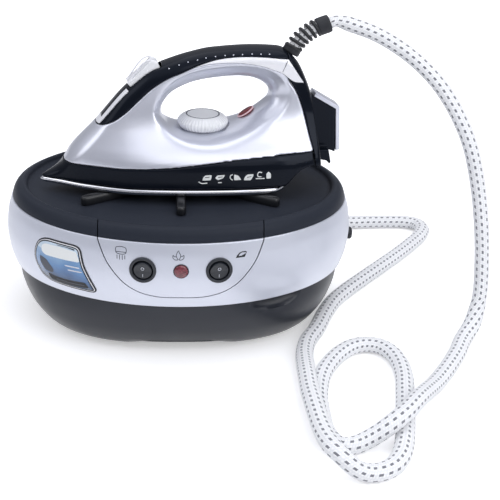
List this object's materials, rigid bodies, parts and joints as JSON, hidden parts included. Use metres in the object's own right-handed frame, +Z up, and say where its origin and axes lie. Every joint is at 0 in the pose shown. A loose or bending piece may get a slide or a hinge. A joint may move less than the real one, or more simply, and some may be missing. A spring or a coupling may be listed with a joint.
{
  "type": "steam generator iron",
  "caption": "Steam iron on an oval boiler base with twin rocker switches, heat dial, steam trigger and a long white braided hose.",
  "frame": {"origin": "middle of the base, on the surface it stands on", "axes": "+Z up, -Y towards the user and the control panel, -X towards the tip of the resting iron"},
  "size_m": [0.4647, 0.5099, 0.2934],
  "materials": {
    "silver_paint": "satin",
    "satin_black": "satin",
    "deep_black": "gloss",
    "gloss_black": "gloss",
    "grey_rubber": "matte",
    "switch_black": "satin",
    "dark_red": "gloss",
    "bright_red": "gloss",
    "badge_blue": "gloss",
    "stainless_steel": "brushed",
    "bright_steel": "polished",
    "brass": "satin",
    "copper": "satin",
    "cast_aluminium": "as cast",
    "pearl_insert": "pearl",
    "clear_plastic": "clear",
    "white_braid": "braided"
  },
  "bodies": {
    "base": {"badge": "badge_blue", "base_tub": "deep_black", "boiler_cradle": "stainless_steel", "boiler_heater": "cast_aluminium", "boiler_switch_bezel": "switch_black", "boiler_tank": "stainless_steel", "control_panel": "silver_paint", "deck_cover": "satin_black", "filler_neck": "brass", "foot_1": "grey_rubber", "foot_2": "grey_rubber", "foot_3": "grey_rubber", "foot_4": "grey_rubber", "front_segment": "satin_black", "hose_clip": "grey_rubber", "hose_gland": "grey_rubber", "hose_lower": "white_braid", "iron_switch_bezel": "switch_black", "mains_inlet": "grey_rubber", "pressure_switch": "switch_black", "ready_lamp": "dark_red", "rest_rib_1": "grey_rubber", "rest_rib_2": "grey_rubber", "rest_rib_3": "grey_rubber", "rest_rib_4": "grey_rubber", "rest_rib_5": "grey_rubber", "silver_band": "silver_paint", "steam_pipe": "copper", "steam_valve_body": "brass", "valve_coil": "copper", "valve_spring": "stainless_steel"},
    "iron": {"soleplate": "bright_steel", "steam_chamber": "cast_aluminium", "skirt": "gloss_black", "body_shell": "silver_paint", "handle_grip": "gloss_black", "handle_insert_near": "pearl_insert", "handle_insert_far": "pearl_insert", "rear_cover": "gloss_black", "heel_plate": "silver_paint", "nose_strip": "bright_steel", "thermostat": "cast_aluminium", "steam_switch": "switch_black", "heating_lamp": "bright_red", "strain_relief": "gloss_black", "hose_upper": "white_braid"},
    "dial": {"heat_dial": "clear_plastic", "dial_shaft": "stainless_steel"},
    "trigger": {"steam_button": "clear_plastic"},
    "tappet": {"switch_tappet": "switch_black"},
    "boiler_key": {"boiler_rocker": "switch_black"},
    "iron_key": {"iron_rocker": "switch_black"},
    "cap_seal": {"filler_seal": "grey_rubber"},
    "cap_knob": {"filler_cap": "satin_black"},
    "valve_core": {"valve_plunger": "stainless_steel"}
  },
  "joints": [
    {"name": "iron_lift", "type": "slide", "parent": "base", "child": "iron", "axis": [0, 0, 1], "range_m": [0, 0.08]},
    {"name": "dial_turn", "type": "hinge", "parent": "iron", "child": "dial", "pos_m": [0.02037, -0.00268, 0.1872], "axis": [0, 0, 1], "range_deg": [0, 270]},
    {"name": "steam_button_press", "type": "hinge", "parent": "iron", "child": "trigger", "pos_m": [-0.04809, -0.01048, 0.2302], "axis": [-0.1132, 0.9936, 0], "range_deg": [0, 5], "stiffness_Nm_per_rad": 0.4, "springref_deg": -2.86},
    {"name": "tappet_press", "type": "slide", "parent": "iron", "child": "tappet", "axis": [0.3555, 0.0405, -0.9338], "range_m": [0, 0.0018]},
    {"name": "boiler_rocker_tilt", "type": "hinge", "parent": "base", "child": "boiler_key", "pos_m": [-0.03307, -0.12401, 0.096], "axis": [-0.9874, 0.158, 0], "range_deg": [0, 18]},
    {"name": "iron_rocker_tilt", "type": "hinge", "parent": "base", "child": "iron_key", "pos_m": [0.03307, -0.12401, 0.096], "axis": [-0.9874, -0.158, 0], "range_deg": [0, 18]},
    {"name": "cap_rise", "type": "slide", "parent": "base", "child": "cap_seal", "axis": [0, 0, 1], "range_m": [0, 0.006]},
    {"name": "cap_turn", "type": "hinge", "parent": "cap_seal", "child": "cap_knob", "pos_m": [0, 0.076, 0.1337], "axis": [0, 0, 1], "range_deg": [0, 720]},
    {"name": "valve_lift", "type": "slide", "parent": "base", "child": "valve_core", "axis": [0, 0, 1], "range_m": [0, 0.002], "stiffness_N_per_m": 400, "springref_m": -0.002, "deforming": ["valve_spring"]}
  ],
  "couplings": [
    {"joint": "tappet_press", "follows": "steam_button_press", "m_per_rad": 0.0185},
    {"joint": "cap_rise", "follows": "cap_turn", "m_per_rad": 0.0004775}
  ]
}
